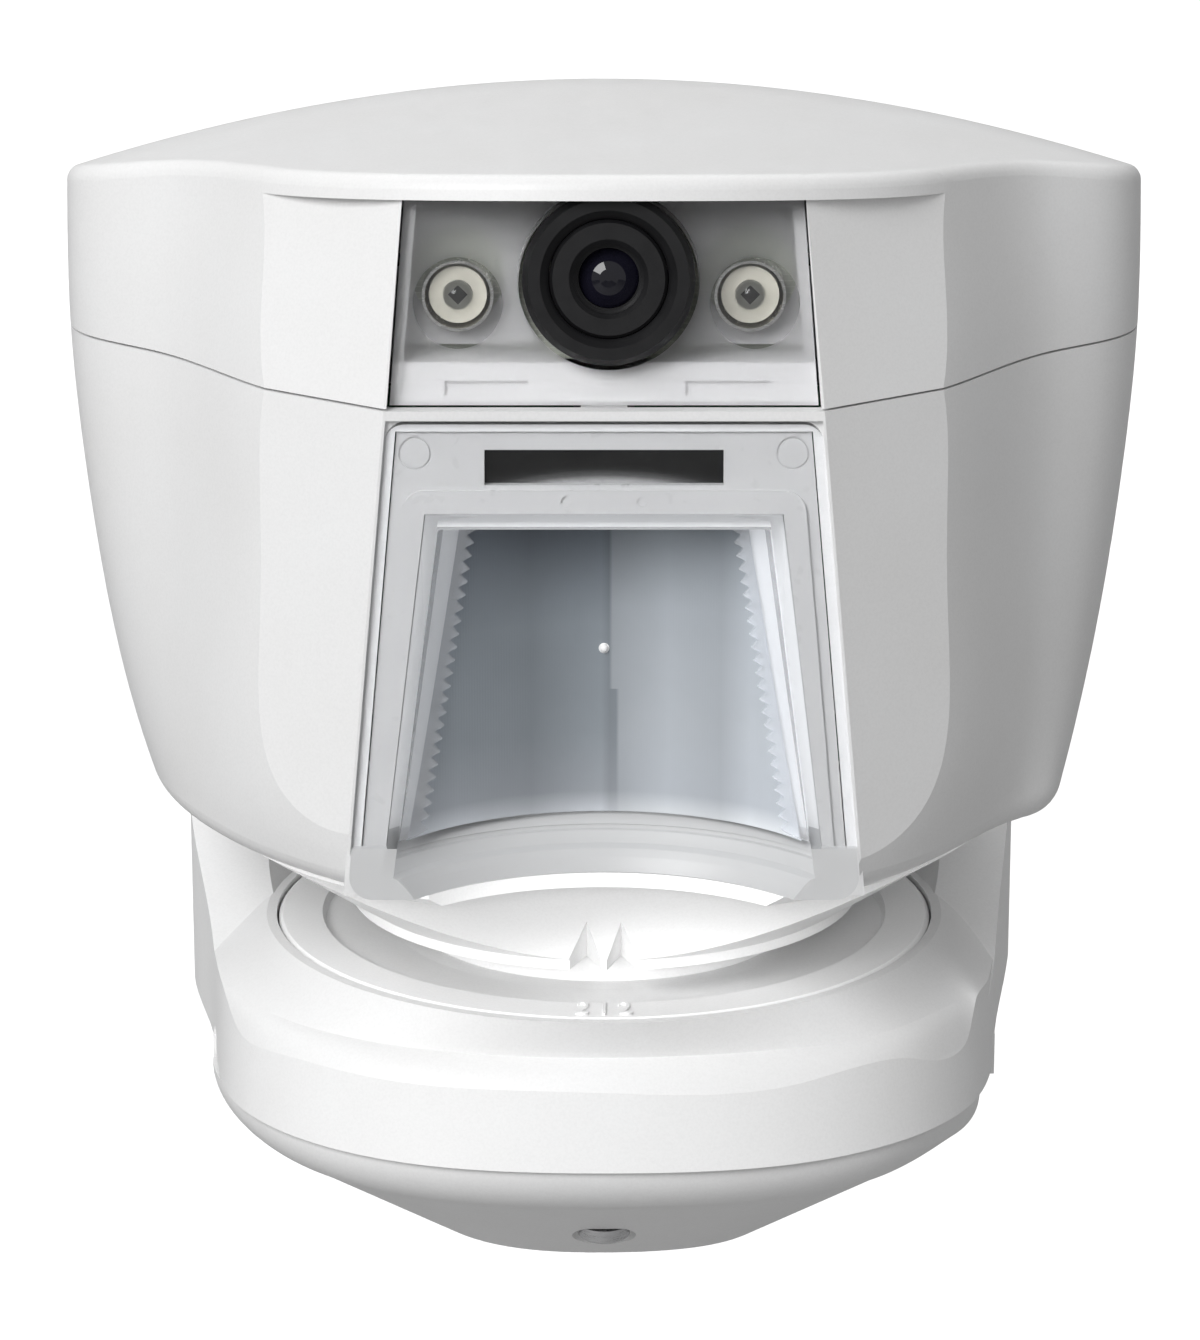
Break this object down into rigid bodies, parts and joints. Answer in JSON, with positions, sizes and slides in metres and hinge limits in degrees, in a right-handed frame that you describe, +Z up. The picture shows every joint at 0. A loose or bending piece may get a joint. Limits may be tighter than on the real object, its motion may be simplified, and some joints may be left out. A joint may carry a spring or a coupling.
{
  "type": "motion sensor",
  "caption": "Wall-mounted outdoor motion sensor with camera, hooded swivelling head, concave window and bowl-shaped bracket cover.",
  "frame": {"origin": "on the wall plane behind the bracket, on the centre line, at the height of the swivel ring's top face", "axes": "+X to the viewer's right when facing the sensor, +Y into the wall, +Z up"},
  "size_m": [0.148, 0.1236, 0.157],
  "materials": {
    "bracket_white": "fine textured white ABS",
    "head_white": "fine textured white ABS",
    "bezel_white": "smooth white ABS",
    "clear_window": "clear polycarbonate",
    "frosted_window": "lightly frosted acrylic",
    "film_grey": "satin grey polyethylene",
    "guide_clear": "clear moulded ribs",
    "smoked_filter": "smoked filter",
    "lens_black": "matt black",
    "lens_glass": "coated glass",
    "led_clear": "clear epoxy",
    "led_white": "white LED package",
    "reflector": "plated",
    "board_green": "solder resist",
    "chip_black": "moulded epoxy",
    "sensor_can": "nickel plated can",
    "contact_metal": "plated spring contact",
    "cell_sleeve": "shrink sleeve",
    "holder_black": "black ABS",
    "screw_steel": "zinc plated",
    "seal_rubber": "soft rubber",
    "plunger_black": "acetal",
    "button_grey": "acetal",
    "mirror_plate": "vacuum plated"
  },
  "bodies": {
    "bracket": {"bracket_shell": "bracket_white", "dial_ring": "bracket_white", "neck_seal": "seal_rubber", "wall_tamper_switch": "holder_black"},
    "bottom_cover": {"bottom_cover": "bracket_white"},
    "cover_screw": {"bottom_cover_screw": "screw_steel"},
    "lock_screw": {"swivel_lock_screw": "screw_steel"},
    "front_cover": {"front_cover": "head_white", "window_cover": "clear_window", "window_bezel": "bezel_white", "slot_filter": "smoked_filter", "pir_film": "film_grey", "left_light_guide": "guide_clear", "right_light_guide": "guide_clear"},
    "cover_plunger": {"cover_tamper_plunger": "plunger_black"},
    "enrol_button": {"enrol_button": "button_grey"},
    "wall_plunger": {"wall_tamper_plunger": "plunger_black"},
    "head": {"head_base": "head_white", "hood": "head_white", "camera_window": "frosted_window", "camera_tray": "bezel_white", "camera_board": "board_green", "lens_flange": "lens_black", "lens_barrel": "lens_black", "lens_glass": "lens_glass", "image_sensor": "chip_black", "led_lenses": "led_clear", "led_bodies": "led_white", "led_reflectors": "reflector", "swivel_clamp_plate": "holder_black", "main_board": "board_green", "board_screws": "screw_steel", "board_chips": "chip_black", "antenna": "contact_metal", "battery_holder": "holder_black", "battery_cells": "cell_sleeve", "battery_contacts": "contact_metal", "mirror_optics": "mirror_plate", "sensor_board": "board_green", "pir_sensors": "sensor_can", "cover_tamper_switch": "holder_black", "enrol_switch": "chip_black", "hood_gasket": "seal_rubber", "hood_screws": "screw_steel"}
  },
  "joints": [
    {"name": "head_swivel", "type": "hinge", "parent": "bracket", "child": "head", "pos_m": [0, -0.068, 0], "axis": [0, 0, 1], "range_deg": [-45, 45]},
    {"name": "front_cover_release", "type": "slide", "parent": "head", "child": "front_cover", "axis": [0, -1, 0], "range_m": [0, 0.06]},
    {"name": "bottom_cover_release", "type": "slide", "parent": "bracket", "child": "bottom_cover", "axis": [0, 0, -1], "range_m": [0, 0.03]},
    {"name": "cover_screw_turn", "type": "hinge", "parent": "bottom_cover", "child": "cover_screw", "pos_m": [0, -0.102, -0.036], "axis": [0, 0, 1], "continuous": true},
    {"name": "lock_screw_turn", "type": "hinge", "parent": "head", "child": "lock_screw", "pos_m": [0, -0.068, -0.0142], "axis": [0, 0, 1], "continuous": true},
    {"name": "cover_tamper_press", "type": "slide", "parent": "head", "child": "cover_plunger", "axis": [0, 1, 0], "range_m": [0, 0.0015], "stiffness_N_per_m": 200},
    {"name": "enrol_press", "type": "slide", "parent": "head", "child": "enrol_button", "axis": [0, 1, 0], "range_m": [0, 0.0004], "stiffness_N_per_m": 600},
    {"name": "wall_tamper_press", "type": "slide", "parent": "bracket", "child": "wall_plunger", "axis": [0, -1, 0], "range_m": [0, 0.0015], "stiffness_N_per_m": 200}
  ]
}
